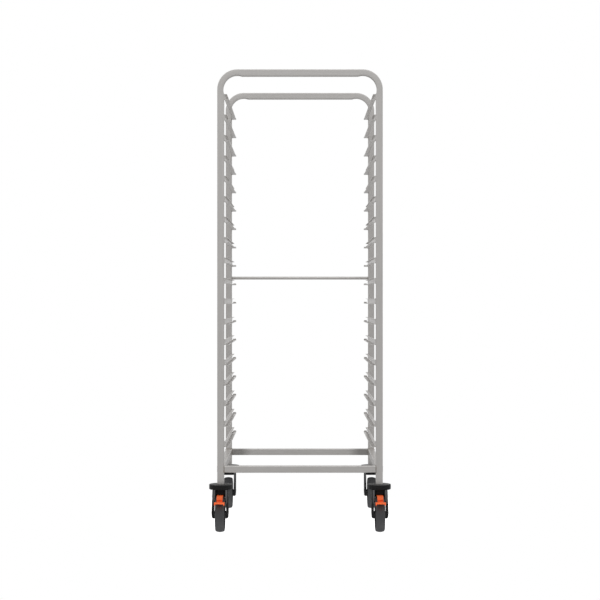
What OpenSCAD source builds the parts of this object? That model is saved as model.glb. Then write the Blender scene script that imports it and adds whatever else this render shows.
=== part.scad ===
// Mobile pan rack: two bent square-tube hoops joined by rails and a ladder of
// C-shaped pan runners, rolling on four swivel casters, the front two with brakes.
// Millimetres, +Z up, front of the rack towards -Y, origin on the floor under the
// middle of the rack.

/* [Frame] */
// Width of the frame over its square tubes
frame_w = 606; // [480:1:760]
// Distance between the middles of the front and rear hoops
hoop_gap = 650; // [450:1:800]
// Height of the top of the hoops above the floor
frame_h = 1688; // [1664:1:2000]
// Side of the square tube
tube = 25; // [22:1:32]
// Wall of the square tube
tube_wall = 1.5; // [1:0.1:2.5]
// Outer radius of the bends at the top corners
bend_r = 73; // [60:1:110]
// Depth of the tube left in the bends, where bending flattens its inner wall
bend_depth = 22; // [18:0.5:25]
// Height of the underside of the low rails above the floor
low_rail_z = 211; // [205:1:240]

/* [Runners] */
// Number of pan levels
levels = 18; // [6:1:18]
// Distance between one level and the next
pitch = 75; // [60:1:75]
// Height of the top level's ledge underside above the floor
top_level_z = 1579; // [1579:1:1585]
// Height of a runner's web
runner_h = 20; // [14:1:26]
// Width of the ledge that carries the pan
ledge_w = 17.5; // [12:0.5:30]
// Width of the upper lip that stops the pan from tipping
lip_w = 10; // [6:0.5:20]
// Thickness of the runner sheet
sheet = 1.5; // [1:0.1:2]
// Length of runner welded against each upright
runner_overlap = 10; // [4:1:20]
// Height of the stop tab at the rear end of each ledge
stop_h = 7; // [6:0.5:14]

/* [Rear stop bar] */
// Diameter of the bar across the back
stop_bar_d = 12; // [8:1:16]
// Height of the bar's middle above the floor
stop_bar_z = 933; // [600:1:1200]

/* [Casters] */
// Wheel diameter over the tyre
wheel_d = 125; // [125:1:126]
// Wheel width over the tyre
wheel_w = 34; // [30:1:34]
// How far the wheel trails behind its swivel axis
trail = 45; // [42:1:46]
// Diameter of the round wall bumper on top of each fork
bumper_d = 85; // [80:1:100]
// Travel of the brake pedal, in degrees
pedal_travel = 5; // [4:0.5:5]

/* [Hidden] */
$fn = 72;
eps = 0.01;
// how far the pieces of one moulding run into each other
join = 0.8;
// radial gap of a shaft that turns in its hole
run_gap = 0.05;
// gap between faces of pieces that turn against each other
turn_gap = 0.3;

CORNERS = ["front_left", "front_right", "rear_left", "rear_right"];
FRONT_CORNERS = ["front_left", "front_right"];
CASTER_PIECES = ["stem", "bumper_disc", "fork", "swivel_bearing", "axle_bolt", "wheel_rim", "tyre"];
BRAKE_PIECES = ["brake_pedal", "brake_shoe", "pedal_pin"];

function runner_name(level) = str("runner_pair_", level < 10 ? "0" : "", level);

// casters, from the floor up, on a caster standing at x = 0, y = 0
wheel_r = wheel_d / 2;
bumper_r = bumper_d / 2;
crown_z = 131.5;        // underside of the fork crown, clear above the tyre
bumper_z = 150.5;       // underside of the bumper disc
foot_z = 169.5;         // top of the bumper disc, where the upright stands
crown_r = 28;
crown_front = 24;       // the crown's wall above the wheel, set back between the legs
race_z = 138.5;         // underside of the swivel bearing
race_r = 20;
stem_r = 6;
stem_head_r = 10;
stem_head_h = 5.7;
stem_top_z = 205;
plug_top_z = 209;
plug_side = tube - 2 * tube_wall - 0.3;

// fork legs
fork_half_w = 31.2;     // over the hub ends
leg_inner = 22.2;
leg_outer = 28.5;
guard_inner = 18.6;     // side guards beside the braked wheels' tops
guard_z = 112;          // lowest point of the guards' front half
housing_z = 100;        // lowest point of the wall behind the brake
hub_end_r = 14.5;
axle_r = 6;
bolt_head_r = 8.5;
bolt_head_h = 5;

// wheel
rim_r = wheel_r - 12;
rim_ring = 5;
rim_half_w = 13;
rim_web = 8;
hub_r = 15;
hub_half_w = 21.2;
crown_curve_r = 40;     // radius of the tyre's rounded tread, seen in section
shoulder_r = 5;

// brake pedal, hinged on a pin under the crown behind the wheel's top
pin_y = -4;
pin_z = 120;
pin_r = 3;
pin_boss_r = 6;
pedal_reach = 118;      // from the swivel axis to the pedal's lip
pedal_half_w = 10.3;
lip_half_w = 18.2;
cheek_inner = 14.8;
shoe_half_w = 8;
shoe_depth = 3.4;
brake_gap = 0.6;        // pedal to tyre with the pedal pressed

// places in the rack
y_shift = (pedal_reach - bumper_r) / 2;
front_y = -hoop_gap / 2 + y_shift;
rear_y = hoop_gap / 2 + y_shift;
upright_x = (frame_w - tube) / 2;
inner_x = frame_w / 2 - tube;
bend_x = frame_w / 2 - bend_r;
bend_z = frame_h - bend_r;

steel = [0.66, 0.65, 0.63];
dark_steel = [0.45, 0.45, 0.46];
black_plastic = [0.16, 0.165, 0.17];
tyre_grey = [0.27, 0.275, 0.285];
rim_grey = [0.30, 0.30, 0.31];
orange = [0.95, 0.40, 0.18];

function has_brake(corner) = corner == "front_left" || corner == "front_right";
function corner_x(corner) =
    (corner == "front_left" || corner == "rear_left") ? -upright_x : upright_x;
function corner_y(corner) =
    has_brake(corner) ? front_y : rear_y;

module at_corner(corner) {
    translate([corner_x(corner), corner_y(corner), 0]) children();
}

// extrudes a side view drawn in (y, z) by half_w to both sides of x = 0
module side_view(half_w) {
    rotate([90, 0, 90]) linear_extrude(2 * half_w, center = true) children();
}

// a cylinder along x, centred on x = 0
module cross_cylinder(r, half_w) {
    rotate([0, 90, 0]) cylinder(r = r, h = 2 * half_w, center = true, $fn = r > wheel_r ? 360 : $fn);
}

/* ---------- frame ---------- */

// front view of a hoop; inset shrinks it on both sides of the tube, for the cavity
module hoop_view(inset) {
    difference() {
        union() {
            translate([-frame_w / 2 + inset, foot_z - inset])
                square([frame_w - 2 * inset, bend_z - foot_z + inset]);
            translate([-bend_x, foot_z]) square([2 * bend_x, frame_h - inset - foot_z]);
            for (side = [-1, 1])
                translate([side * bend_x, bend_z]) circle(r = bend_r - inset, $fn = 144);
        }
        translate([-inner_x - inset, foot_z - 2 * tube])
            square([2 * (inner_x + inset), bend_z - foot_z + 2 * tube]);
        translate([-bend_x, foot_z]) square([2 * bend_x, frame_h - tube + inset - foot_z]);
        for (side = [-1, 1])
            translate([side * bend_x, bend_z])
                circle(r = bend_r - bend_depth + inset, $fn = 144);
    }
}

module hoop(y) {
    color(steel) translate([0, y, 0]) rotate([90, 0, 0]) difference() {
        linear_extrude(tube, center = true) hoop_view(0);
        linear_extrude(tube - 2 * tube_wall, center = true) hoop_view(tube_wall);
    }
}

// hollow square tube along x, centred on x = 0, standing on z = 0
module tube_x(length) {
    translate([0, 0, tube / 2]) difference() {
        cube([length, tube, tube], center = true);
        cube([length + 2 * eps, tube - 2 * tube_wall, tube - 2 * tube_wall], center = true);
    }
}

module crossbar(y) {
    color(steel) translate([0, y, low_rail_z]) tube_x(2 * inner_x);
}

module side_rail(side) {
    color(steel) translate([side * upright_x, y_shift, low_rail_z])
        rotate([0, 0, 90]) tube_x(hoop_gap - tube);
}

module rear_stop_bar() {
    color(steel) translate([0, rear_y, stop_bar_z])
        cross_cylinder(stop_bar_d / 2, inner_x);
}

// square inserts in the feet of the uprights, each with a hole for a caster stem
module tube_plugs() {
    color(dark_steel) for (corner = CORNERS) at_corner(corner)
        translate([0, 0, foot_z]) difference() {
            translate([0, 0, (plug_top_z - foot_z) / 2])
                cube([plug_side, plug_side, plug_top_z - foot_z], center = true);
            translate([0, 0, -1]) cylinder(r = stem_r, h = plug_top_z - foot_z + 2);
        }
}

/* ---------- runners ---------- */

// a right-hand runner: web on the uprights' inner faces, ledge and lip towards the middle
module runner() {
    length = hoop_gap - tube + 2 * runner_overlap;
    relief = 3;         // gap between the stop tab and the web
    translate([inner_x, y_shift - length / 2, 0]) {
        translate([-sheet, 0, 0]) cube([sheet, length, runner_h]);
        translate([-ledge_w, 0, 0]) cube([ledge_w, length, sheet]);
        translate([-lip_w, 0, runner_h - sheet]) cube([lip_w, length, sheet]);
        translate([-ledge_w, length - sheet, 0])
            cube([ledge_w - sheet - relief, sheet, stop_h]);
    }
}

module runner_pair(level) {
    color(steel) translate([0, 0, top_level_z - pitch * (level - 1)]) {
        runner();
        mirror([1, 0, 0]) runner();
    }
}

/* ---------- casters ---------- */

// kingpin: its head is under the bearing, its shaft goes up into the tube plug
module stem() {
    color(dark_steel) {
        translate([0, 0, race_z - turn_gap - stem_head_h]) cylinder(r = stem_head_r, h = stem_head_h);
        translate([0, 0, race_z - 2 * turn_gap]) cylinder(r = stem_r, h = stem_top_z - race_z);
    }
}

// disc with a rounded rim
module bumper_disc() {
    height = foot_z - bumper_z;
    edge = 2.5;
    color(black_plastic) translate([0, 0, bumper_z]) rotate_extrude() {
        translate([stem_r, 0]) square([bumper_r - edge - stem_r, height]);
        translate([stem_r, edge]) square([bumper_r - stem_r, height - 2 * edge]);
        for (z = [edge, height - edge]) translate([bumper_r - edge, z]) circle(r = edge);
    }
}

// side view of a fork leg, from the crown down to the hub end
module leg_view() {
    translate([-trail, wheel_r]) circle(r = hub_end_r);
    polygon([
        [-38, bumper_z - turn_gap],
        [18, bumper_z - turn_gap],
        [18, crown_z + 1],
        [-trail + 11.4, wheel_r - 9.1],
        [-trail - 14.2, wheel_r + 3],
        [-trail - 9, 104]
    ]);
}

// round crown with its wall above the wheel cut flat
module crown() {
    height = bumper_z - turn_gap - crown_z;
    translate([0, 0, crown_z]) intersection() {
        cylinder(r = crown_r, h = height);
        translate([-crown_r, -crown_front, 0]) cube([2 * crown_r, crown_front + crown_r, height]);
    }
}

// guards on the legs' inner faces, close beside the wheel
module side_guards() {
    for (side = [-1, 1]) translate([side * (guard_inner + leg_inner + join) / 2, 0, 0])
        side_view((leg_inner + join - guard_inner) / 2) polygon([
            [-38, bumper_z - turn_gap],
            [18, bumper_z - turn_gap],
            [18, housing_z],
            [-20, guard_z],
            [-trail - 5, guard_z]
        ]);
}

// wall behind the wheel's top, which closes the brake off at the back
module brake_housing() {
    translate([-leg_inner - join, 13, housing_z])
        cube([2 * (leg_inner + join), 5, crown_z + 1 - housing_z]);
}

module fork(brake) {
    color(black_plastic) difference() {
        union() {
            crown();
            if (brake) {
                side_guards();
                brake_housing();
            }
            for (side = [-1, 1]) translate([side * (leg_inner + leg_outer) / 2, 0, 0])
                side_view((leg_outer - leg_inner) / 2) leg_view();
            for (side = [-1, 1])
                translate([side * (leg_inner + fork_half_w) / 2, -trail, wheel_r])
                    cross_cylinder(hub_end_r, (fork_half_w - leg_inner) / 2);
            translate([-leg_inner - join, -crown_front, crown_z + 4])
                cube([2 * (leg_inner + join), crown_front, bumper_z - turn_gap - crown_z - 4]);
        }
        translate([0, 0, crown_z - 1]) cylinder(r = stem_head_r + 1, h = bumper_z - crown_z + 2);
        translate([0, 0, race_z]) cylinder(r = race_r, h = bumper_z - race_z);
        translate([0, -trail, wheel_r]) cross_cylinder(axle_r, fork_half_w + 1);
        for (side = [-1, 1])
            translate([side * (fork_half_w - bolt_head_h / 2), -trail, wheel_r])
                cross_cylinder(bolt_head_r, bolt_head_h / 2 + eps);
        translate([0, pin_y, pin_z]) cross_cylinder(pin_r, leg_outer + 1);
    }
}

// ball race pressed into the fork crown, turning on the stem
module swivel_bearing() {
    color(dark_steel) translate([0, 0, race_z]) difference() {
        cylinder(r = race_r, h = bumper_z - 2 * turn_gap - race_z);
        translate([0, 0, -1]) cylinder(r = stem_r + run_gap, h = bumper_z - race_z + 2);
    }
}

// bolt and nut through both hub ends, their heads sunk in the fork
module axle_bolt() {
    head_z = fork_half_w - bolt_head_h;
    color(dark_steel) translate([0, -trail, wheel_r]) rotate([0, 90, 0]) {
        translate([0, 0, -head_z]) cylinder(r = axle_r, h = 2 * head_z);
        for (side = [-1, 1])
            translate([0, 0, side * (head_z + bolt_head_h / 2 - 0.25)])
                cylinder(r = 7.5, h = bolt_head_h - 0.5, center = true, $fn = 6);
    }
}

module wheel_rim() {
    color(rim_grey) translate([0, -trail, wheel_r]) rotate([0, 90, 0]) rotate_extrude($fn = 96) {
        bore = axle_r + run_gap;
        translate([bore, -hub_half_w]) square([hub_r - bore, 2 * hub_half_w]);
        translate([hub_r - 1, -rim_web / 2]) square([rim_r - hub_r, rim_web]);
        translate([rim_r - rim_ring, -rim_half_w]) square([rim_ring, 2 * rim_half_w]);
    }
}

// tyre with a rounded tread and soft shoulders
module tyre() {
    half_w = wheel_w / 2;
    color(tyre_grey) translate([0, -trail, wheel_r]) rotate([0, 90, 0])
        rotate_extrude($fn = 120) intersection() {
            union() {
                translate([rim_r, -half_w]) square([wheel_r - shoulder_r - rim_r, wheel_w]);
                translate([rim_r, -half_w + shoulder_r])
                    square([wheel_r - rim_r, wheel_w - 2 * shoulder_r]);
                for (side = [-1, 1])
                    translate([wheel_r - shoulder_r, side * (half_w - shoulder_r)])
                        circle(r = shoulder_r);
            }
            translate([wheel_r - crown_curve_r, 0]) circle(r = crown_curve_r, $fn = 144);
        }
}

/* ---------- brake ---------- */

// turns its children about the pedal pin
module about_pin(angle) {
    translate([0, pin_y, pin_z]) rotate([angle, 0, 0]) translate([0, -pin_y, -pin_z]) children();
}

// the tyre's circle as the released pedal sees it, grown by gap
module tyre_path(gap, half_w) {
    about_pin(-pedal_travel) translate([0, -trail, wheel_r]) cross_cylinder(wheel_r + gap, half_w);
}

// block under the pedal that holds the brake shoe
module shoe_seat(half_w) {
    about_pin(-pedal_travel) translate([0, -trail, wheel_r]) rotate([26, 0, 0])
        translate([-half_w, -11, wheel_r - 6]) cube([2 * half_w, 22, 6 + shoe_depth]);
}

module brake_pedal() {
    color(orange) difference() {
        union() {
            translate([0, pin_y, pin_z]) cross_cylinder(pin_boss_r, pedal_half_w);
            side_view(pedal_half_w) polygon([
                [pin_y + 5, pin_z + 3.2],
                [pin_y - 6, crown_z - 0.7],
                [-crown_front - 1, crown_z - 0.7],
                [-46, 133.4],
                [-78, 134.6],
                [-83, 133.6],
                [-98, 122.9],
                [-93.5, 122.1],
                [-93.5, 114.5],
                [-103, 115],
                [-104, 109.4],
                [-97, 108.4],
                [pin_y - 4, pin_z - 4]
            ]);
            side_view(lip_half_w) polygon([
                [-98, 114.7],
                [-112, 116.5],
                [-pedal_reach + 1.2, 114.6],
                [-pedal_reach, 112.2],
                [-pedal_reach + 1.5, 109.8],
                [-106, 108.8],
                [-98, 108.8]
            ]);
            for (side = [-1, 1])
                translate([side * (cheek_inner + lip_half_w) / 2, 0, 0])
                    side_view((lip_half_w - cheek_inner) / 2)
                        polygon([[-98, 114], [-114, 112], [-114, 105], [-106, 104]]);
        }
        tyre_path(brake_gap, pedal_half_w + 1);
        shoe_seat(shoe_half_w);
        translate([0, pin_y, pin_z]) cross_cylinder(pin_r + run_gap, pedal_half_w + 1);
    }
}

module brake_shoe() {
    color(dark_steel) difference() {
        shoe_seat(shoe_half_w);
        tyre_path(turn_gap, shoe_half_w + 1);
    }
}

module pedal_pin() {
    color(dark_steel) translate([0, pin_y, pin_z]) cross_cylinder(pin_r, leg_outer);
}

/* ---------- pieces ---------- */

module caster_piece(piece, corner) {
    if (piece == "stem") stem();
    if (piece == "bumper_disc") bumper_disc();
    if (piece == "fork") fork(has_brake(corner));
    if (piece == "swivel_bearing") swivel_bearing();
    if (piece == "axle_bolt") axle_bolt();
    if (piece == "wheel_rim") wheel_rim();
    if (piece == "tyre") tyre();
    if (piece == "brake_pedal") brake_pedal();
    if (piece == "brake_shoe") brake_shoe();
    if (piece == "pedal_pin") pedal_pin();
}

hoop(front_y);  // front_hoop
hoop(rear_y);  // rear_hoop
crossbar(front_y);  // front_crossbar
crossbar(rear_y);  // rear_crossbar
side_rail(-1);  // side_rail_left
side_rail(1);  // side_rail_right
rear_stop_bar();
tube_plugs();
for (level = [1:levels])
    runner_pair(level);
for (corner = CORNERS) for (piece = CASTER_PIECES)
    at_corner(corner) caster_piece(piece, corner);
for (corner = FRONT_CORNERS) for (piece = BRAKE_PIECES)
    at_corner(corner) caster_piece(piece, corner);
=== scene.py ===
"""Looks of the sheet pan rack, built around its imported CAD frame.

Metres, +Z up, the open front towards -Y. Places come from the frame's boxes. Shape details that a box
can't tell, such as bend radii and edge roundings, are the named sizes below.
"""

import math

import bmesh
import bpy
from mathutils import Matrix, Vector


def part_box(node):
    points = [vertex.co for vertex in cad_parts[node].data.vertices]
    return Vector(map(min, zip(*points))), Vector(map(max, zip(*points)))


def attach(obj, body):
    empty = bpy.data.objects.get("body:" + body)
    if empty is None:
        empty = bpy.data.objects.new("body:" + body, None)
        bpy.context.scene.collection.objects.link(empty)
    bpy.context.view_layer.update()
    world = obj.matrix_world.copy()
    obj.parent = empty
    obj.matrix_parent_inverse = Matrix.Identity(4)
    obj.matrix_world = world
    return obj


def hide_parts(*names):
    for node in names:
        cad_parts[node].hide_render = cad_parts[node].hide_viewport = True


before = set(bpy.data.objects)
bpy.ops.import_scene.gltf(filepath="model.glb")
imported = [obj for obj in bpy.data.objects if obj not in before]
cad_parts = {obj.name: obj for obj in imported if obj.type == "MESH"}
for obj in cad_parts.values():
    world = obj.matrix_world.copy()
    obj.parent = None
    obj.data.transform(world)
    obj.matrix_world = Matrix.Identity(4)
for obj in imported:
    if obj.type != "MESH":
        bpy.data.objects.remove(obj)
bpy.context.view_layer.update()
scene = bpy.context.scene
MM = 0.001

# ---------------------------------------------------------------- places, from the frame

CORNERS = ("front_left", "front_right", "rear_left", "rear_right")
FRONT_CORNERS = CORNERS[:2]
RUNNERS = sorted(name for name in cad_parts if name.startswith("runner_pair_"))


def centre(node):
    """The middle of a CAD node's box."""
    low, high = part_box(node)
    return (low + high) / 2


hoop_low, hoop_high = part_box("front_hoop")
bar_low, bar_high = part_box("front_crossbar")
TUBE = hoop_high.y - hoop_low.y                 # side of the square tube
HALF_TUBE = TUBE / 2
FOOT_Z = hoop_low.z                             # where the uprights stand on the bumper discs
TOP_Z = hoop_high.z
UPRIGHT_X = hoop_high.x - HALF_TUBE             # middle of the uprights
INNER_X = bar_high.x                            # inner faces of the uprights
FRONT_Y = centre("front_hoop").y
REAR_Y = centre("rear_hoop").y
RAIL_Z = (bar_low.z + bar_high.z) / 2           # middle of the low rails
AXLE = {corner: centre(f"tyre_{corner}") for corner in CORNERS}
SWIVEL = {corner: centre(f"stem_{corner}") for corner in CORNERS}
fork_low, fork_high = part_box("fork_front_left")
LEG_HUB_W = (fork_high.x - fork_low.x) / 2      # half width of the fork over its hub ends

# ---------------------------------------------------------------- sizes of shape details

TUBE_CORNER = 2.6 * MM          # outer corner radius of the square tube
BEND_R = 73 * MM                # outer radius of the hoops' bends
BEND_DEPTH = 22 * MM            # tube depth left in the bends
BEND_DENT = 2.4 * MM            # hollow that bending leaves along the inner wall
SHEET = 1.5 * MM                # runner sheet
STOP_H = 7 * MM                 # height of the stop tab at a ledge's rear end
SHEET_BEND = 2.0 * MM           # middle radius of the runner's folds
WELD_R = 1.7 * MM
RIPPLE = 1.5 * MM               # pitch of the ripples on a weld seam
LEG_TOP_W = 28.3 * MM           # half width of the fork over its legs, at the top
LEG_FRONT = [(-59, 64), (-53.6, 104), (-44.6, 130), (-37.6, 150)]   # a leg's front edge, (y, z) in mm
LEG_ROUND = 3 * MM              # rounding of the legs' front outer edge
HUB_END_R = 14.3 * MM           # of the round hub ends at the legs' bottom
HUB_HOLE_R = 6 * MM             # the axle bolt's hole
HUB_SEAT_R = 8.6 * MM           # the seats for its head and nut
PIN_HOLE_R = 3.1 * MM           # the pedal pin's hole
LEG_SKIN_X = 23 * MM            # where the legs' outer skin starts
HUB_ROUND = 10 * MM             # rounding of the hub ends' lower outer edge
PIN_PLACE = (-4 * MM, 120 * MM)     # the pedal pin from the swivel axis and the floor, as (y, z)


# ---------------------------------------------------------------- mesh helpers


def tidy_mesh(mesh, sharp=math.radians(38)):
    """Outward normals, smooth faces, and sharp edges where two faces meet at a clear angle."""
    work = bmesh.new()
    work.from_mesh(mesh)
    bmesh.ops.remove_doubles(work, verts=work.verts, dist=1e-6)
    bmesh.ops.recalc_face_normals(work, faces=work.faces)
    for face in work.faces:
        face.smooth = True
    for edge in work.edges:
        edge.smooth = len(edge.link_faces) < 2 or edge.calc_face_angle(0) < sharp
    work.to_mesh(mesh)
    work.free()
    return mesh


def skin(rings, closed=False):
    """A mesh through rings of points, each ring a closed loop; its map runs along and around, in metres."""
    mesh = bpy.data.meshes.new("skin")
    count = len(rings[0])
    verts = [tuple(point) for ring in rings for point in ring]
    faces, corners = [], []
    middles = [sum((Vector(p) for p in ring), Vector()) / count for ring in rings]
    along = [0.0]
    for a, b in zip(middles, middles[1:]):
        along.append(along[-1] + (b - a).length)
    along.append(along[-1] + (middles[0] - middles[-1]).length)
    around = [0.0]
    for a, b in zip(rings[0], list(rings[0][1:]) + [rings[0][0]]):
        around.append(around[-1] + (Vector(b) - Vector(a)).length)
    for i in range(len(rings) if closed else len(rings) - 1):
        here, there = i * count, ((i + 1) % len(rings)) * count
        for j in range(count):
            k = (j + 1) % count
            faces.append((here + j, here + k, there + k, there + j))
            corners += [(along[i], around[j]), (along[i], around[j + 1]),
                        (along[i + 1], around[j + 1]), (along[i + 1], around[j])]
    if not closed:
        for first, flip in ((0, True), (len(verts) - count, False)):
            loop = list(range(first, first + count))
            faces.append(tuple(reversed(loop)) if flip else tuple(loop))
            corners += [(0.0, 0.0)] * count
    mesh.from_pydata(verts, [], faces)
    sweep = mesh.uv_layers.new(name="sweep")
    for place, value in zip(sweep.data, corners):
        place.uv = value
    return mesh


def merge(meshes, name="merged"):
    """One mesh out of several, which are used up."""
    work = bmesh.new()
    for mesh in meshes:
        work.from_mesh(mesh)
        bpy.data.meshes.remove(mesh)
    result = bpy.data.meshes.new(name)
    work.to_mesh(result)
    work.free()
    return result


def moved(mesh, matrix):
    """A copy of a mesh, moved by a matrix."""
    copy = mesh.copy()
    copy.transform(matrix)
    if matrix.determinant() < 0:
        copy.flip_normals()
    return copy


def turned(points, axis, steps):
    """A closed solid of revolution: points are (distance from the axis, place along it)."""
    rings = []
    for step in range(steps):
        angle = 2 * math.pi * step / steps
        c, s = math.cos(angle), math.sin(angle)
        if axis == "z":
            rings.append([(r * c, r * s, h) for r, h in points])
        else:
            rings.append([(h, r * c, r * s) for r, h in points])
    return skin(rings, closed=True)


def arc(cx, cy, r, start, end, steps):
    """Points of an arc in a plane, angles in degrees."""
    return [(cx + r * math.cos(math.radians(start + (end - start) * i / steps)),
             cy + r * math.sin(math.radians(start + (end - start) * i / steps)))
            for i in range(steps + 1)]


def rounded_box_outline(half_u, half_v, radius, side_steps=1):
    """Outline of a rectangle with round corners, its sides cut into side_steps."""
    arc_steps = 5
    points = []
    for cu, cv, start in ((1, 1, 0), (-1, 1, 90), (-1, -1, 180), (1, -1, 270)):
        corner = arc(cu * (half_u - radius), cv * (half_v - radius), radius, start, start + 90, arc_steps)
        if points and side_steps > 1:
            points += between(points[-1], corner[0], side_steps)
        points += corner
    if side_steps > 1:
        points += between(points[-1], points[0], side_steps)
    return points


def between(a, b, steps):
    """The points that cut the line from a to b into steps, ends left out."""
    return [(a[0] + (b[0] - a[0]) * i / steps, a[1] + (b[1] - a[1]) * i / steps) for i in range(1, steps)]


def place(name, mesh, material, slot, body, replaced=(), location=(0, 0, 0), weighted=True):
    """An object of the rack: its mesh, finish, body, and the CAD nodes that it stands for."""
    obj = bpy.data.objects.new(name, mesh)
    obj.location = location
    scene.collection.objects.link(obj)
    if not mesh.materials:
        mesh.materials.append(material)
    if weighted:
        modifier = obj.modifiers.new("even_shading", "WEIGHTED_NORMAL")
        modifier.keep_sharp = True
    if replaced:
        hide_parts(*replaced)
    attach(obj, body)
    return obj


# ---------------------------------------------------------------- materials


class Nodes:
    """Short names for building a node material."""

    def __init__(self, name):
        self.material = bpy.data.materials.new(name)
        self.material.use_nodes = True
        self.tree = self.material.node_tree
        self.shader = self.tree.nodes["Principled BSDF"]

    def add(self, kind, inputs=None, **settings):
        node = self.tree.nodes.new(kind)
        for key, value in settings.items():
            setattr(node, key, value)
        for key, value in (inputs or {}).items():
            self.feed(node.inputs[key], value)
        return node

    def feed(self, socket, value):
        if isinstance(value, bpy.types.NodeSocket):
            self.tree.links.new(value, socket)
        else:
            socket.default_value = value

    def set(self, **inputs):
        for key, value in inputs.items():
            self.feed(self.shader.inputs[key.replace("_", " ")], value)

    def noise(self, vector, scale, detail=3.0, roughness=0.5):
        node = self.add("ShaderNodeTexNoise", {"Vector": vector, "Scale": scale, "Detail": detail,
                                               "Roughness": roughness})
        return node.outputs["Fac"]

    def stretch(self, vector, scale):
        node = self.add("ShaderNodeMapping", {"Vector": vector, "Scale": scale})
        return node.outputs["Vector"]

    def ramp(self, value, low, high, out_low, out_high):
        node = self.add("ShaderNodeMapRange", {"Value": value, "From Min": low, "From Max": high,
                                               "To Min": out_low, "To Max": out_high})
        return node.outputs["Result"]

    def mix(self, factor, a, b):
        node = self.add("ShaderNodeMix", data_type="RGBA")
        self.feed(node.inputs["Factor"], factor)
        self.feed(node.inputs[6], a)
        self.feed(node.inputs[7], b)
        return node.outputs[2]

    def math(self, operation, a, b=0.0):
        node = self.add("ShaderNodeMath", operation=operation)
        self.feed(node.inputs[0], a)
        self.feed(node.inputs[1], b)
        return node.outputs[0]

    def bump(self, height, strength, distance):
        node = self.add("ShaderNodeBump", {"Height": height, "Strength": strength, "Distance": distance})
        return node.outputs["Normal"]

    def object_place(self):
        return self.add("ShaderNodeTexCoord").outputs["Object"]

    def sweep_place(self):
        return self.add("ShaderNodeUVMap", uv_map="sweep").outputs["UV"]


def grey(value, warmth=0.0):
    """A linear grey, a little warmer or cooler."""
    return (value * (1 + warmth), value, value * (1 - warmth), 1.0)


def steel(name, base, warmth, painted_end_shade_from=None):
    """Satin stainless steel with its grain along the tube or sheet, faint smudges and handling marks.

    Beyond the given distance to the left and right of the middle, the colour darkens: painted shade, where
    the dark uprights and casters darken a bar's ends.
    """
    roughness = 0.34
    n = Nodes(name)
    where = n.object_place()
    grain = n.noise(n.stretch(n.sweep_place(), (14, 2600, 1)), 1.0, 4.0, 0.6)
    streak = n.noise(n.stretch(n.sweep_place(), (3, 240, 1)), 1.0, 2.0)
    smudge = n.noise(where, 7.0, 5.0, 0.62)
    marks = n.noise(where, 60.0, 6.0, 0.7)
    tone = n.math("ADD", n.ramp(grain, 0.3, 0.7, -0.05, 0.05), n.ramp(streak, 0.35, 0.65, -0.03, 0.03))
    tone = n.math("ADD", tone, n.ramp(smudge, 0.35, 0.7, 0.53, 0.45))
    color = n.mix(tone, grey(base * 0.55, warmth), grey(base * 1.45, warmth * 0.6))
    # painted shade towards the ends, beyond the given distance from the middle
    if painted_end_shade_from:
        aside = n.math("ABSOLUTE", n.add("ShaderNodeSeparateXYZ", {"Vector": where}).outputs["X"])
        painted_end_shade = n.ramp(aside, painted_end_shade_from, painted_end_shade_from + PAINTED_END_SHADE_FADE, 0.0, 0.72)
        color = n.mix(painted_end_shade, color, grey(base * 0.42, warmth))
    rough = n.math("ADD", n.ramp(smudge, 0.3, 0.7, roughness - 0.04, roughness + 0.08),
                   n.ramp(marks, 0.45, 0.75, 0.0, 0.07))
    rough = n.math("ADD", rough, n.ramp(grain, 0.3, 0.7, -0.03, 0.05))
    n.set(Base_Color=color, Metallic=1.0, Roughness=rough, Normal=n.bump(grain, 0.12, 0.12 * MM))
    return n.material


def weld_steel(name):
    """Bright weld seams with a straw to brown heat tint in patches."""
    n = Nodes(name)
    where = n.object_place()
    patch = n.noise(where, 90.0, 4.0, 0.6)
    fine = n.noise(where, 900.0, 3.0, 0.6)
    tint = n.mix(n.ramp(patch, 0.4, 0.65, 0.0, 1.0), grey(0.44, 0.03), (0.33, 0.27, 0.20, 1.0))
    n.set(Base_Color=tint, Metallic=1.0, Roughness=n.ramp(fine, 0.3, 0.7, 0.28, 0.42))
    n.set(Normal=n.bump(fine, 0.15, 0.0003))
    return n.material


def zinc(name):
    """Zinc-plated small parts: bluish grey with a fine crystalline mottle."""
    n = Nodes(name)
    where = n.object_place()
    cells = n.add("ShaderNodeTexVoronoi", {"Vector": where, "Scale": 900.0}).outputs["Color"]
    mottle = n.noise(where, 220.0, 3.0, 0.6)
    color = n.mix(n.ramp(mottle, 0.35, 0.65, 0.0, 1.0), (0.40, 0.41, 0.43, 1.0), (0.52, 0.53, 0.54, 1.0))
    color = n.mix(0.08, color, cells)
    n.set(Base_Color=color, Metallic=1.0, Roughness=n.ramp(mottle, 0.3, 0.7, 0.30, 0.44))
    n.set(Normal=n.bump(mottle, 0.1, 0.0002))
    return n.material


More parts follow.
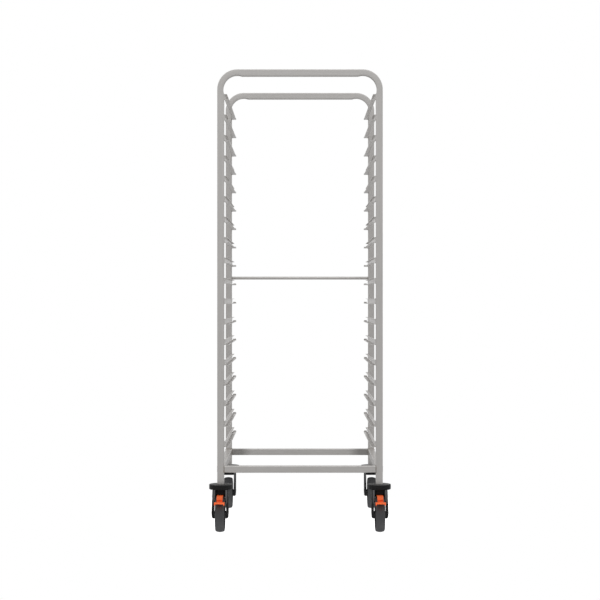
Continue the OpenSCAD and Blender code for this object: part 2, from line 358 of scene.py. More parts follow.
def plastic(name, color, worn, roughness, shine=0.5, painted_top_light=None, top_light_stops_at=None):
    """Moulded plastic with a fine spark-eroded grain, cloudy tone, scuffs, and painted light from above: a
    paler colour on what faces upwards.

    Beyond the given distance to the left and right of the object's middle, that painted light is left off,
    so the edges there stay dark as painted shade.
    """
    n = Nodes(name)
    where = n.object_place()
    grain = n.noise(where, 2600.0, 2.0, 0.5)
    cloud = n.noise(where, 28.0, 4.0, 0.55)
    scuff = n.noise(n.stretch(where, (60, 160, 420)), 1.0, 6.0, 0.72)
    lighter = [c * 1.2 + 0.001 for c in color]
    shade = n.mix(n.ramp(cloud, 0.35, 0.65, 0.0, 0.35), (*color, 1.0), (*lighter, 1.0))
    shade = n.mix(n.ramp(scuff, 0.60, 0.78, 0.0, 0.35), shade, (*worn, 1.0))
    # painted light from above: upward faces get the paler colour, patchy with the cloudy tone
    if painted_top_light:
        facing = n.add("ShaderNodeNewGeometry").outputs["Normal"]
        upward = n.add("ShaderNodeSeparateXYZ", {"Vector": facing}).outputs["Z"]
        dust_and_top_light = n.math("MULTIPLY", n.ramp(upward, 0.08, 0.38, 0.0, 1.0), n.ramp(cloud, 0.2, 0.7, 0.75, 1.0))
        # painted shade: the outer edges keep the dark colour, like edges turned away from the light above
        if top_light_stops_at:
            aside = n.math("ABSOLUTE", n.add("ShaderNodeSeparateXYZ", {"Vector": where}).outputs["X"])
            dust_and_top_light = n.math("MULTIPLY", dust_and_top_light, n.ramp(aside, top_light_stops_at - MM, top_light_stops_at + MM, 1.0, 0.0))
        shade = n.mix(dust_and_top_light, shade, (*painted_top_light, 1.0))
    rough = n.math("ADD", n.ramp(cloud, 0.3, 0.7, roughness - 0.04, roughness + 0.05),
                   n.ramp(grain, 0.3, 0.7, -0.03, 0.03))
    n.set(Base_Color=shade, Roughness=rough, Normal=n.bump(grain, 0.35, 0.05 * MM), Specular_IOR_Level=shine)
    return n.material


def rubber(name, color, dust_and_top_light):
    """Matt rubber, dustier in patches, with a fine pitted surface and faint scuffs round the tread."""
    n = Nodes(name)
    where = n.object_place()
    pit = n.noise(where, 1900.0, 3.0, 0.6)
    cloud = n.noise(where, 45.0, 5.0, 0.6)
    scuff = n.noise(n.stretch(n.sweep_place(), (30, 500, 1)), 1.0, 5.0, 0.7)
    shade = n.mix(n.ramp(cloud, 0.35, 0.7, 0.0, 0.45), (*color, 1.0), (*dust_and_top_light, 1.0))
    shade = n.mix(n.ramp(scuff, 0.55, 0.75, 0.0, 0.25), shade, (*dust_and_top_light, 1.0))
    n.set(Base_Color=shade, Roughness=n.ramp(cloud, 0.3, 0.7, 0.62, 0.76), Specular_IOR_Level=0.25)
    n.set(Normal=n.bump(pit, 0.4, 0.00008))
    return n.material


PAINTED_END_SHADE_FADE = 42 * MM             # over which the painted shade at the rear crossbar's ends fades in
TUBE_STEEL = steel("satin_tube_steel", 0.67, 0.04)
# the rear crossbar's steel gets painted shade towards its ends
REAR_BAR_STEEL_SHADED_ENDS = steel("satin_rear_bar_steel_painted_shade", 0.67, 0.04, painted_end_shade_from=INNER_X - 80 * MM)
SHEET_STEEL = steel("satin_sheet_steel", 0.76, 0.03)
WELD = weld_steel("weld_seam_steel")
ZINC = zinc("zinc_plated_steel")
# the fork and the bumper discs get painted light from above on their upward faces
NYLON = plastic("black_nylon", (0.009, 0.0092, 0.0098), (0.032, 0.033, 0.034), 0.6, shine=0.24,
                painted_top_light=(0.15, 0.152, 0.155), top_light_stops_at=25.5 * MM)
BUMPER = plastic("bumper_plastic", (0.009, 0.0093, 0.0098), (0.032, 0.033, 0.034), 0.42, shine=0.17,
                 painted_top_light=(0.035, 0.035, 0.036))
RIM = plastic("rim_plastic", (0.022, 0.0225, 0.0235), (0.06, 0.06, 0.061), 0.45, shine=0.3)
ORANGE = plastic("orange_plastic", (0.92, 0.135, 0.021), (0.62, 0.082, 0.018), 0.38, shine=0.4)
TYRE = rubber("tyre_rubber", (0.0435, 0.044, 0.0465), (0.066, 0.066, 0.067))
SHOE = rubber("brake_rubber", (0.02, 0.02, 0.021), (0.05, 0.05, 0.05))


# ---------------------------------------------------------------- square tube frame


def crush_past_bend(distance):
    """How much the inner wall is still pushed in, at a distance past the end of a bend."""
    inner_r = BEND_R - BEND_DEPTH
    reach = inner_r ** 2 - distance ** 2
    return max(0.0, math.sqrt(max(0.0, reach)) - (BEND_R - TUBE))


def tube_ring(middle, outward, crush, dent):
    """One section of a hoop: a rounded square, pushed in and hollowed on the inside of a bend."""
    hollow_half = 0.92 * HALF_TUBE      # half width of the hollow
    side_bulge = 0.016                  # how far the side walls bulge out beside it, as a share
    ring = []
    for u, v in rounded_box_outline(HALF_TUBE, HALF_TUBE, TUBE_CORNER, side_steps=8):
        depth = (HALF_TUBE - u) / TUBE
        inner = max(0.0, 1 - (u + HALF_TUBE) / (3 * TUBE_CORNER))
        hollow = max(0.0, math.cos(math.pi * v / (2 * hollow_half)))
        bulge = 1 + side_bulge * dent / BEND_DENT * math.sin(math.pi * depth)
        radial = u + crush * depth + dent * inner * hollow ** 2
        ring.append(middle + outward * radial + Vector((0, v * bulge, 0)))
    return ring


def hoop_mesh(y):
    """A hoop bent from one square tube: up, round a bend, across, round a bend, down."""
    bend_x = hoop_high.x - BEND_R
    bend_z = TOP_Z - BEND_R
    middle_r = BEND_R - HALF_TUBE
    fade = 18 * MM                      # how far past a bend its dent fades out
    bend_steps = 28
    full_crush = TUBE - BEND_DEPTH
    fades = [fade * i / 9 for i in range(10)]
    stations = []

    def straight(middle, outward, past):
        crush = crush_past_bend(past) if past < fade else 0.0
        stations.append((middle, outward, crush, BEND_DENT * (crush / full_crush) ** 2))

    left, up = Vector((-1, 0, 0)), Vector((0, 0, 1))
    straight(Vector((-UPRIGHT_X, y, FOOT_Z)), left, fade)
    straight(Vector((-UPRIGHT_X, y, RAIL_Z)), left, fade)
    for past in reversed(fades):
        straight(Vector((-UPRIGHT_X, y, bend_z - past)), left, past)
    for side in (-1, 1):
        for i in range(1, bend_steps):
            turn = math.radians(90 * (i if side < 0 else bend_steps - i) / bend_steps)
            outward = Vector((side * math.cos(turn), 0, math.sin(turn)))
            stations.append((Vector((side * bend_x, y, bend_z)) + outward * middle_r, outward,
                             full_crush, BEND_DENT))
        if side < 0:
            for past in fades:
                straight(Vector((-bend_x + past, y, TOP_Z - HALF_TUBE)), up, past)
            straight(Vector((0, y, TOP_Z - HALF_TUBE)), up, fade)
            for past in reversed(fades):
                straight(Vector((bend_x - past, y, TOP_Z - HALF_TUBE)), up, past)
    for past in fades:
        straight(Vector((UPRIGHT_X, y, bend_z - past)), -left, past)
    straight(Vector((UPRIGHT_X, y, RAIL_Z)), -left, fade)
    straight(Vector((UPRIGHT_X, y, FOOT_Z)), -left, fade)
    return tidy_mesh(skin([tube_ring(*station) for station in stations]))


def straight_tube(start, end):
    """A straight square tube from start to end, along x or y."""
    start, end = Vector(start), Vector(end)
    along = (end - start).normalized()
    side = Vector((-along.y, along.x, 0))
    up = Vector((0, 0, 1))
    steps = 8
    rings = [[start.lerp(end, i / steps) + side * u + up * v
              for u, v in rounded_box_outline(HALF_TUBE, HALF_TUBE, TUBE_CORNER)] for i in range(steps + 1)]
    return tidy_mesh(skin(rings))


def build_frame():
    """The two hoops, the low rails between them and the round stop bar."""
    for node, y in (("front_hoop", FRONT_Y), ("rear_hoop", REAR_Y)):
        place(f"{node}_tube", hoop_mesh(y), TUBE_STEEL, "stainless_tube", "rack_frame", [node])
    crossbars = (("front_crossbar", FRONT_Y, TUBE_STEEL), ("rear_crossbar", REAR_Y, REAR_BAR_STEEL_SHADED_ENDS))
    for node, y, finish in crossbars:
        mesh = straight_tube((-INNER_X, y, RAIL_Z), (INNER_X, y, RAIL_Z))
        place(f"{node}_tube", mesh, finish, "stainless_tube", "rack_frame", [node])
    for node, side in (("side_rail_left", -1), ("side_rail_right", 1)):
        x = side * UPRIGHT_X
        mesh = straight_tube((x, FRONT_Y + HALF_TUBE, RAIL_Z), (x, REAR_Y - HALF_TUBE, RAIL_Z))
        place(f"{node}_tube", mesh, TUBE_STEEL, "stainless_tube", "rack_frame", [node])
    low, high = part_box("rear_stop_bar")
    radius = (high.z - low.z) / 2
    middle = (low + high) / 2
    rings = [[(x, middle.y + radius * math.cos(a), middle.z + radius * math.sin(a))
              for a in (2 * math.pi * k / 40 for k in range(40))]
             for x in (low.x, low.x / 2, 0, high.x / 2, high.x)]
    place("rear_stop_bar_rod", tidy_mesh(skin(rings)), TUBE_STEEL, "stainless_tube", "rack_frame",
          ["rear_stop_bar"])


# ---------------------------------------------------------------- weld seams


def bead(path, closed=False, radius=WELD_R, sides=8):
    """A weld seam along a path: a thin round bead whose thickness ripples."""
    rings = []
    count = len(path)
    for i, point in enumerate(path):
        before = path[i - 1] if closed or i else point
        after = path[(i + 1) % count] if closed or i < count - 1 else point
        along = (after - before).normalized()
        across = along.orthogonal().normalized()
        other = along.cross(across)
        size = radius * (0.88 + 0.16 * (i % 3) / 2)
        if not closed and i in (0, count - 1):
            size *= 0.45
        rings.append([point + across * size * math.cos(2 * math.pi * k / sides)
                      + other * size * math.sin(2 * math.pi * k / sides) for k in range(sides)])
    return skin(rings, closed=closed)


def ring_path(middle, normal, outline):
    """A closed path round a joint whose face looks along normal, which is along x or y."""
    side = Vector((normal.y, -normal.x, 0))
    return [middle + side * u + Vector((0, 0, v)) for u, v in outline]


def resample(points, spacing):
    """Points at even spacing round a closed outline."""
    loop = points + [points[0]]
    lengths = [0.0]
    for a, b in zip(loop, loop[1:]):
        lengths.append(lengths[-1] + math.dist(a, b))
    count = max(12, 3 * round(lengths[-1] / spacing / 3))
    result, segment = [], 0
    for i in range(count):
        target = lengths[-1] * i / count
        while lengths[segment + 1] < target:
            segment += 1
        share = (target - lengths[segment]) / max(1e-9, lengths[segment + 1] - lengths[segment])
        a, b = loop[segment], loop[segment + 1]
        result.append((a[0] + (b[0] - a[0]) * share, a[1] + (b[1] - a[1]) * share))
    return result


def build_welds():
    """All weld seams of the frame as one piece: rails, stop bar and runners to the uprights."""
    seams = []
    square = resample(rounded_box_outline(HALF_TUBE, HALF_TUBE, TUBE_CORNER), RIPPLE)
    for y in (FRONT_Y, REAR_Y):
        for side in (-1, 1):
            joint = Vector((side * INNER_X, y, RAIL_Z))
            seams.append(bead(ring_path(joint, Vector((1, 0, 0)), square), True))
    for side in (-1, 1):
        for y in (FRONT_Y + HALF_TUBE, REAR_Y - HALF_TUBE):
            joint = Vector((side * UPRIGHT_X, y, RAIL_Z))
            seams.append(bead(ring_path(joint, Vector((0, 1, 0)), square), True))
    stop = centre("rear_stop_bar")
    low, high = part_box("rear_stop_bar")
    circle = resample(arc(0, 0, (high.z - low.z) / 2, 0, 350, 35), RIPPLE)
    for side in (-1, 1):
        path = ring_path(Vector((side * INNER_X, stop.y, stop.z)), Vector((1, 0, 0)), circle)
        seams.append(bead(path, True, radius=1.3 * MM))
    steps = 12
    for runner in RUNNERS:
        low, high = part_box(runner)
        overlaps = ((low.y + MM, FRONT_Y + HALF_TUBE - MM), (REAR_Y - HALF_TUBE + MM, high.y - MM))
        for side in (-1, 1):
            for z in (low.z + 0.5 * MM, high.z - 0.5 * MM):
                for start, end in overlaps:
                    path = [Vector((side * (INNER_X - 0.6 * MM), start + (end - start) * i / steps, z))
                            for i in range(steps + 1)]
                    seams.append(bead(path, radius=1.25 * MM, sides=6))
    place("frame_welds", tidy_mesh(merge(seams), math.radians(80)), WELD, "stainless_tube", "rack_frame",
          weighted=False)


# ---------------------------------------------------------------- pan runners


def channel_outline(height, lip, ledge):
    """Section of a runner as (reach from the upright, height): a folded sheet with a lip and a ledge."""
    half = SHEET / 2
    r = SHEET_BEND
    line = [((lip, height - half), (0, 1)), ((lip / 2 + r / 2, height - half), (0, 1))]
    for angle in range(0, 91, 15):
        a = math.radians(90 + angle)
        out = (math.cos(a), math.sin(a))
        line.append(((half + r + r * out[0], height - half - r + r * out[1]), out))
    line.append(((half, height / 2), (-1, 0)))
    for angle in range(0, 91, 15):
        a = math.radians(180 + angle)
        out = (math.cos(a), math.sin(a))
        line.append(((half + r + r * out[0], half + r + r * out[1]), out))
    line += [((ledge / 2 + r / 2, half), (0, -1)), ((ledge, half), (0, -1))]
    outer = [(p[0] + n[0] * half, p[1] + n[1] * half) for p, n in line]
    inner = [(p[0] - n[0] * half, p[1] - n[1] * half) for p, n in reversed(line)]
    return outer + inner


def corner_cut(distance, radius):
    """How far a rounded corner of this radius steps back, at a distance from the sheet's end."""
    if distance >= radius:
        return 0.0
    return radius - math.sqrt(radius ** 2 - (radius - distance) ** 2)


def runner_mesh(low, high):
    """The right-hand runner of one level, at its own height above z = 0."""
    height, depth = high.z - low.z, high.y - low.y
    lip, ledge = 10 * MM, 17.5 * MM     # how far they reach from the upright's face
    radius = 3 * MM                     # of the corners in the sheet
    relief = 4 * MM                     # length of the notch beside the stop tab
    tab_inner = 4.5 * MM                # from the upright's face to the tab's near side
    ends = [d * MM for d in (0, 0.3, 0.8, 1.5, 2.2, 3.0)]
    ys = ends + [depth * i / 10 for i in range(1, 10)] + [depth - relief]
    rings = []
    for y in ys:
        cut = corner_cut(y, radius)
        outline = channel_outline(height, lip - cut, ledge - cut)
        rings.append([(INNER_X - x, low.y + y, z) for x, z in outline])
    meshes = [skin(rings)]
    half = SHEET / 2
    tail = []
    for y in [depth - relief] + [depth - d for d in reversed(ends)]:
        cut = corner_cut(depth - y, radius)
        outline = channel_outline(height, lip - cut, ledge)
        upright_part = [(min(x, lip - cut if z > height / 2 else 2 * SHEET), z) for x, z in outline]
        tail.append([(INNER_X - x, low.y + y, z) for x, z in upright_part])
    meshes.append(skin(tail))
    r = SHEET_BEND
    strip = [((depth - relief - MM, half), (0, 1), 0.0), ((depth - half - r, half), (0, 1), 0.0)]
    for angle in range(15, 91, 15):
        a = math.radians(angle)
        strip.append(((depth - half - r + r * math.sin(a), half + r - r * math.cos(a)),
                      (-math.sin(a), math.cos(a)), 0.0))
    for back in reversed(ends):
        strip.append(((depth - half, STOP_H - back), (-1, 0), corner_cut(back, radius)))
    tab = []
    for (y, z), (ny, nz), cut in strip:
        near, far = tab_inner + cut, ledge - cut
        tab.append([(INNER_X - x, low.y + y + ny * h, z + nz * h)
                    for x, h in ((near, -half), (far, -half), (far, half), (near, half))])
    meshes.append(skin(tab))
    return merge(meshes)


def build_runners():
    """Eighteen levels of runners, which share one mesh."""
    low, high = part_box(RUNNERS[0])
    right = runner_mesh(low, high)
    left = moved(right, Matrix.Scale(-1, 4, (1, 0, 0)))
    pair = tidy_mesh(merge([right, left], "runner_pair_sheet"))
    for runner in RUNNERS:
        place(f"{runner}_sheet", pair, SHEET_STEEL, "stainless_sheet", "rack_frame", [runner],
              location=(0, 0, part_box(runner)[0].z))


# ---------------------------------------------------------------- casters


def bumper_mesh(low, high):
    """The wall bumper at the origin: a disc with rounded edges, a raised seat and a hollow underneath."""
    r = (high.x - low.x) / 2
    h = high.z - low.z
    edge = 2.3 * MM
    hole = 6.2 * MM
    groove = h * 0.42                   # height of the thin groove round the disc's side
    profile = [(hole, 0), (29 * MM, 0), (30 * MM, 1.8 * MM), (r - 6 * MM, 1.8 * MM), (r - 5 * MM, 0)]
    profile += arc(r - edge, edge, edge, -88, 0, 6)
    profile += [(r, groove - 0.5 * MM), (r - 0.35 * MM, groove - 0.15 * MM),
                (r - 0.35 * MM, groove + 0.15 * MM), (r, groove + 0.5 * MM)]
    profile += arc(r - edge, h - 0.5 * MM - edge, edge, 0, 86, 7)
    profile += [(24 * MM, h - 0.4 * MM), (22.8 * MM, h - 0.3 * MM), (21.8 * MM, h), (hole, h)]
    return tidy_mesh(turned(profile, "z", 96))


def leg_outline(wheel_r, trail, top):
    """Side outline of a fork leg as (y, z) about the swivel axis, round the hub end at its bottom."""
    points = [(17.6 * MM, top), (LEG_FRONT[-1][0] * MM, top)]
    points += [(y * MM, z * MM) for y, z in (LEG_FRONT[2], LEG_FRONT[1])]
    points += arc(-trail, wheel_r, HUB_END_R, 168, 322, 16)
    points += [(17.6 * MM, top - 17 * MM)]
    return points


def leg_front(z):
    """How far forward a leg's front edge is at a height, from the swivel axis."""
    for (y0, z0), (y1, z1) in zip(LEG_FRONT, LEG_FRONT[1:]):
        if z <= z1 * MM:
            break
    return (y0 + (y1 - y0) * (z / MM - z0) / (z1 - z0)) * MM


def leg_reach(z):
    """Half width of the fork over its legs at a height: wider towards the hub ends."""
    hub_z, top_z = LEG_FRONT[0][1] * MM, LEG_FRONT[-1][1] * MM
    return LEG_TOP_W + (LEG_HUB_W - LEG_TOP_W) * min(1.0, max(0.0, (top_z - z) / (top_z - hub_z)))


def rounding(past, radius):
    """How far a surface steps back when it is past the start of a rounded edge of this radius."""
    past = min(0.97 * radius, max(0.0, past))
    return radius - math.sqrt(radius ** 2 - past ** 2)


def leg_slab(wheel_r, trail, top):
    """The right leg's outer skin: wider towards the hub end, with holes for the bolt and the pin."""
    outline = leg_outline(wheel_r, trail, top)

    def reach(z, inset):
        below = max(0.0, 1 - (z - (wheel_r - HUB_END_R)) / (9 * MM))
        return leg_reach(z) - 2.0 * MM * below ** 2 - inset

    middle = (sum(p[0] for p in outline) / len(outline), sum(p[1] for p in outline) / len(outline))

    def ring(inset, shrink):
        return [(reach(z, inset), y + (middle[0] - y) * shrink, z + (middle[1] - z) * shrink)
                for y, z in outline]

    inner = [(LEG_SKIN_X, y, z) for y, z in outline]
    rings = [inner, ring(1.2 * MM, 0.0), ring(0.35 * MM, 0.012), ring(0.0, 0.035)]
    holes = [cut_cylinder(LEG_HUB_W - MM, -trail, wheel_r, HUB_SEAT_R, 4 * MM),
             cut_cylinder(26 * MM, -trail, wheel_r, HUB_HOLE_R, 8 * MM),
             cut_cylinder(27 * MM, *PIN_PLACE, PIN_HOLE_R, 8 * MM)]
    return bored(skin(rings), holes)


def cut_cylinder(x_middle, y, z, r, half_w):
    """A closed cylinder along x, to cut a hole with."""
    steps = 48
    rings = [[(x, y + r * math.cos(2 * math.pi * k / steps), z + r * math.sin(2 * math.pi * k / steps))
              for k in range(steps)] for x in (x_middle - half_w, x_middle + half_w)]
    return skin(rings)


def apply_modifiers(obj):
    """The mesh that an object has after its modifiers, as a mesh of its own."""
    bpy.context.view_layer.update()
    evaluated = obj.evaluated_get(bpy.context.evaluated_depsgraph_get())
    mesh = bpy.data.meshes.new_from_object(evaluated)
    bpy.data.objects.remove(obj)
    return mesh


def moulded(mesh, voxel, smooth_steps, keep, swell):
    """One moulded piece out of overlapping solids: fused, softened, swelled back, then thinned out."""
    obj = bpy.data.objects.new("moulding", mesh)
    scene.collection.objects.link(obj)
    fuse = obj.modifiers.new("fuse", "REMESH")
    fuse.mode = "VOXEL"
    fuse.voxel_size = voxel
    soften = obj.modifiers.new("soften", "SMOOTH")
    soften.factor = 0.5
    soften.iterations = smooth_steps
    grow = obj.modifiers.new("grow", "DISPLACE")
    grow.strength = swell
    grow.mid_level = 0.0
    thin = obj.modifiers.new("thin", "DECIMATE")
    thin.ratio = keep
    result = apply_modifiers(obj)
    for face in result.polygons:
        face.use_smooth = True
    return result


def bored(mesh, cutters):
    """A mesh with holes cut by closed cutter meshes."""
    obj = bpy.data.objects.new("bored", mesh)
    scene.collection.objects.link(obj)
    tools = []
    for cutter in cutters:
        tool = bpy.data.objects.new("cutter", cutter)
        scene.collection.objects.link(tool)
        modifier = obj.modifiers.new("cut", "BOOLEAN")
        modifier.object = tool
        modifier.operation = "DIFFERENCE"
        modifier.solver = "EXACT"
        tools.append(tool)
    result = apply_modifiers(obj)
    for tool in tools:
        bpy.data.objects.remove(tool)
    return result


def cad_copy(node, at):
    """A plain copy of a CAD node's mesh, moved so that the point at comes to the origin."""
    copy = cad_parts[node].data.copy()
    copy.materials.clear()
    copy.transform(Matrix.Translation(-at))
    return copy


def fork_mesh(corner):
    """The fork about its swivel axis: the CAD fork with legs that flare outwards to the hub ends."""
    axis = Vector((SWIVEL[corner].x, SWIVEL[corner].y, 0))
    wheel_r, trail = AXLE[corner].z, axis.y - AXLE[corner].y
    right = leg_slab(wheel_r, trail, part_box(f"fork_{corner}")[1].z - 0.5 * MM)
    left = moved(right, Matrix.Scale(-1, 4, (1, 0, 0)))
    whole = merge([cad_copy(f"fork_{corner}", axis), right, left])
    swell = 0.3 * MM
    body = moulded(whole, 0.55 * MM, 14, 0.3, swell)
    for vertex in body.vertices:
        x, y, z = vertex.co
        below = min(1.0, max(0.0, (6 * MM - (z - wheel_r)) / (12 * MM)))
        past = math.hypot(y + trail, z - wheel_r) - HUB_END_R - swell + HUB_ROUND
        reach = LEG_HUB_W + 0.1 * MM - below * rounding(past, HUB_ROUND)
        if z > wheel_r + 8 * MM:
            past = LEG_ROUND - (y - leg_front(z)) * 0.95
            reach = min(reach, leg_reach(z) + 0.4 * MM - rounding(past, LEG_ROUND))
        if abs(x) > reach:
            vertex.co.x = math.copysign(reach, x)
    return tidy_mesh(body, math.radians(60))


def rim_mesh(corner):
    """The wheel's plastic rim about its axle: hub, web, ribs on both sides and the ring under the tyre."""
    low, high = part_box(f"wheel_rim_{corner}")
    r = (high.z - low.z) / 2
    hub_w = (high.x - low.x) / 2
    ring_w = 13 * MM                    # half width of the ring under the tyre
    profile = [(6.05 * MM, -hub_w), (13 * MM, -hub_w), (14.5 * MM, -hub_w + 1.5 * MM), (15 * MM, -7 * MM),
               (18 * MM, -4 * MM), (40 * MM, -3.2 * MM), (44.5 * MM, -5 * MM),
               (45 * MM, -ring_w + 0.6 * MM), (45.6 * MM, -ring_w), (r, -ring_w)]
    profile += [(a, -b) for a, b in reversed(profile)]
    parts = [turned(profile, "x", 96)]
    ribs = 10
    # a rib's sections in mm: distance from the axle, height from the wheel's middle, half thickness
    sections = ((13.5, 12.5, 1.7), (20, 11.2, 1.5), (30, 10.2, 1.35), (45.3, 9.8, 1.5))
    for side in (-1, 1):
        for k in range(ribs):
            turn = 2 * math.pi * (k + 0.25 * (side + 1)) / ribs
            outward = Vector((0, math.cos(turn), math.sin(turn)))
            across = Vector((0, -math.sin(turn), math.cos(turn)))
            rings = []
            for reach, height, half in sections:
                base = outward * reach * MM
                rings.append([base + across * u * half * MM + Vector((side * h * MM, 0, 0))
                              for u, h in ((-1.15, 2.4), (1.15, 2.4), (1.0, height - 0.5), (0.6, height),
                                           (-0.6, height), (-1.0, height - 0.5))])
            parts.append(skin(rings))
    return tidy_mesh(merge(parts))


def bush_mesh(hub_w):
    """Steel bearing sleeve ends that show in the hub's middle."""
    inner, outer = 6.08 * MM, 9.6 * MM
    sunk, face = hub_w - 2 * MM, hub_w + 0.45 * MM
    parts = []
    for side in (-1, 1):
        profile = [(inner, side * sunk), (outer, side * sunk), (outer, side * (hub_w + 0.25 * MM)),
                   (9.2 * MM, side * face), (6.5 * MM, side * face), (inner, side * (hub_w + 0.1 * MM))]
        parts.append(turned(profile, "x", 48))
    return tidy_mesh(merge(parts))


def tyre_mesh(corner):
    """The tyre about its axle: crowned tread, soft shoulders, a moulding line and a rounded bead edge."""
    low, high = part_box(f"tyre_{corner}")
    r = (high.z - low.z) / 2
    half = (high.x - low.x) / 2
    inner = 50.5 * MM
    crown_r = 40 * MM
    shoulder = 5 * MM
    profile = [(inner, -half + 1.2 * MM), (inner + 0.6 * MM, -half + 0.3 * MM), (inner + 1.6 * MM, -half)]
    profile += [(r - shoulder - 2.6 * MM, -half), (r - shoulder - 2.2 * MM, -half)]
    tread = []
    steps = 12
    for i in range(steps + 1):
        x = -half + shoulder * 0.55 + (half - shoulder * 0.55) * i / steps
        tread.append((r - crown_r + math.sqrt(crown_r ** 2 - x ** 2), x))
    edge_r = tread[0][0]
    profile += [(r - shoulder - 1.0 * MM, -half + 0.15 * MM), (edge_r - 1.9 * MM, -half + 0.85 * MM),
                (edge_r - 0.7 * MM, -half + 1.7 * MM)]
    profile += tread[:-1] + [(r - 0.02 * MM, -0.35 * MM)]
    profile += [(a, -b) for a, b in reversed(profile)]
    return tidy_mesh(turned(profile, "x", 128))


def pedal_mesh(corner):
    """The brake pedal about the swivel axis: the CAD pedal with softened edges."""
    axis = Vector((SWIVEL[corner].x, SWIVEL[corner].y, 0))
    body = moulded(cad_copy(f"brake_pedal_{corner}", axis), 0.45 * MM, 8, 0.3, 0.2 * MM)
    return tidy_mesh(body, math.radians(60))


def build_casters():
    """Forks, wheels, bumper discs and brake pedals; equal pieces share a mesh."""
    forks = {"front": fork_mesh("front_left"), "rear": fork_mesh("rear_left")}
    rim = rim_mesh("front_left")
    low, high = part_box("wheel_rim_front_left")
    bush = bush_mesh((high.x - low.x) / 2)
    tyre = tyre_mesh("front_left")
    bumper = bumper_mesh(*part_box("bumper_disc_front_left"))
    pedal = pedal_mesh("front_left")
    for corner in CORNERS:
        stand = Vector((SWIVEL[corner].x, SWIVEL[corner].y, 0))
        caster, wheel = f"caster_{corner}", f"wheel_{corner}"
        fork = forks[corner.split("_")[0]]
        place(f"fork_{corner}_moulding", fork, NYLON, "black_nylon", caster, [f"fork_{corner}"],
              location=stand, weighted=False)
        place(f"wheel_rim_{corner}_moulding", rim, RIM, "rim_plastic", wheel, [f"wheel_rim_{corner}"],
              location=AXLE[corner])
        place(f"wheel_bush_{corner}", bush, ZINC, "zinc_steel", wheel, location=AXLE[corner])
        place(f"tyre_{corner}_tread", tyre, TYRE, "tyre_rubber", wheel, [f"tyre_{corner}"],
              location=AXLE[corner])
        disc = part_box(f"bumper_disc_{corner}")[0]
        place(f"bumper_{corner}_moulding", bumper, BUMPER, "bumper_plastic", "rack_frame",
              [f"bumper_disc_{corner}"], location=(stand.x, stand.y, disc.z))
    for corner in FRONT_CORNERS:
        stand = Vector((SWIVEL[corner].x, SWIVEL[corner].y, 0))
        place(f"brake_pedal_{corner}_moulding", pedal, ORANGE, "orange_plastic", f"pedal_{corner}",
              [f"brake_pedal_{corner}"], location=stand, weighted=False)


def finish_cad_nodes():
    """Finishes and softened edges for the CAD pieces that stay as they are."""
    finish = {"stem": ZINC, "swivel_bearing": ZINC, "axle_bolt": ZINC, "pedal_pin": ZINC,
              "tube_plugs": NYLON, "brake_shoe": SHOE}
    for name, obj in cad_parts.items():
        for start, material in finish.items():
            if name.startswith(start):
                obj.data.materials.clear()
                obj.data.materials.append(material)
                bevel = obj.modifiers.new("soft_edges", "BEVEL")
                bevel.width = 0.35 * MM
                bevel.segments = 2
                bevel.limit_method = "ANGLE"


# ---------------------------------------------------------------- floor, light and camera


FRONT_LIGHT = 0.49              # brightness of the studio in front of the rack, at eye level
BACK_LIGHT = 0.74               # behind it, above the horizon
BACK_BELOW = 0.48               # and below
FRONT_ABOVE = 0.6               # what the light above the front adds
TOP_LIGHT = 0.10                # what the ceiling adds
FLOOR_GLOW = 0.9                # keeps the floor as white as the backdrop


def build_stage():
    """A plain pale floor: a disc that is as white as the backdrop round it."""
    floor_r = 0.75
    mesh = bpy.data.meshes.new("floor")
    mesh.from_pydata([(floor_r * math.cos(a), floor_r * math.sin(a), 0)
                      for a in (2 * math.pi * k / 96 for k in range(96))], [], [tuple(range(96))])
    floor = bpy.data.objects.new("floor", mesh)
    scene.collection.objects.link(floor)
    n = Nodes("pale_floor")
    n.set(Base_Color=n.mix(n.ramp(n.noise(n.object_place(), 3.0), 0.3, 0.7, 0.0, 1.0),
                           (0.90, 0.90, 0.90, 1), (0.915, 0.915, 0.915, 1)), Roughness=0.8,
          Emission_Color=(1, 1, 1, 1), Emission_Strength=FLOOR_GLOW)
    mesh.materials.append(n.material)
    floor.visible_glossy = False        # the steel mirrors the studio, not the floor


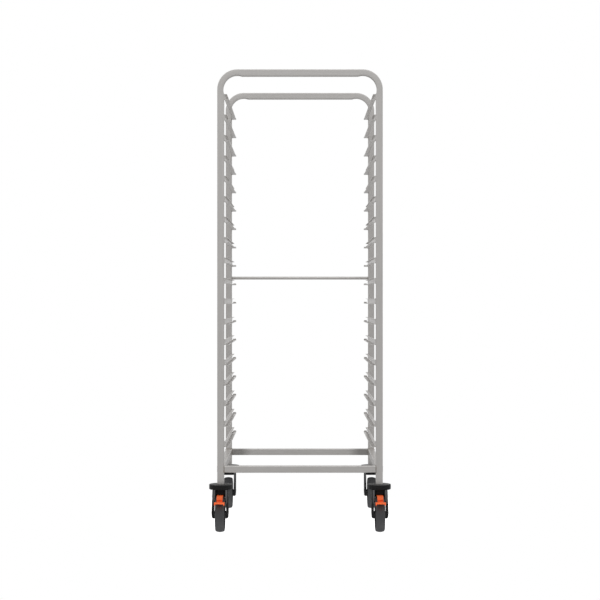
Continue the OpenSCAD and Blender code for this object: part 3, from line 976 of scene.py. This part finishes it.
def build_light():
    """A soft studio, brighter above and behind than in front at eye level, and plain white to the camera."""
    world = bpy.data.worlds.new("studio")
    scene.world = world
    world.use_nodes = True
    tree = world.node_tree

    def node(kind, *inputs, **settings):
        made = tree.nodes.new(kind)
        for key, value in settings.items():
            setattr(made, key, value)
        for socket, value in zip(made.inputs, inputs):
            if isinstance(value, bpy.types.NodeSocket):
                tree.links.new(value, socket)
            elif value is not None:
                socket.default_value = value
        return made.outputs[0]

    def ramp(value, low, high, out_low, out_high):
        return node("ShaderNodeMapRange", value, low, high, out_low, out_high,
                    interpolation_type="SMOOTHSTEP")

    split = tree.nodes.new("ShaderNodeSeparateXYZ")
    tree.links.new(tree.nodes.new("ShaderNodeTexCoord").outputs["Generated"], split.inputs[0])
    y, z = split.outputs["Y"], split.outputs["Z"]
    around = ramp(y, -1.0, 1.0, FRONT_LIGHT, ramp(z, -0.08, 0.08, BACK_BELOW, BACK_LIGHT))
    front_above = node("ShaderNodeMath", ramp(z, 0.10, 0.6, 0.0, 1.0), ramp(y, -0.9, 0.0, FRONT_ABOVE, 0.0),
                       operation="MULTIPLY")
    total = node("ShaderNodeMath", around, front_above, operation="ADD")
    total = node("ShaderNodeMath", total, ramp(z, 0.15, 0.8, 0.0, TOP_LIGHT), operation="ADD")
    camera_ray = tree.nodes.new("ShaderNodeLightPath").outputs["Is Camera Ray"]
    tree.links.new(node("ShaderNodeMix", camera_ray, None, total, 1.0, data_type="FLOAT"),
                   tree.nodes["Background"].inputs["Strength"])
    tree.nodes["Background"].inputs["Color"].default_value = (1, 1, 1, 1)


def build_camera():
    """A level camera on the rack's middle line, at the height and distance of the view it is matched to."""
    distance = 5.69                     # from the lens to the front hoop's front face
    eye_height = 0.8435
    data = bpy.data.cameras.new("camera")
    data.sensor_width = 36              # in mm, like the lens
    data.lens = 93.3
    camera = bpy.data.objects.new("camera", data)
    camera.location = (0, hoop_low.y - distance, eye_height)
    camera.rotation_euler = (math.radians(90), 0, 0)
    scene.collection.objects.link(camera)
    scene.camera = camera


build_frame()
build_welds()
build_runners()
build_casters()
finish_cad_nodes()
build_stage()
build_light()
build_camera()
scene.view_settings.view_transform = "Standard"
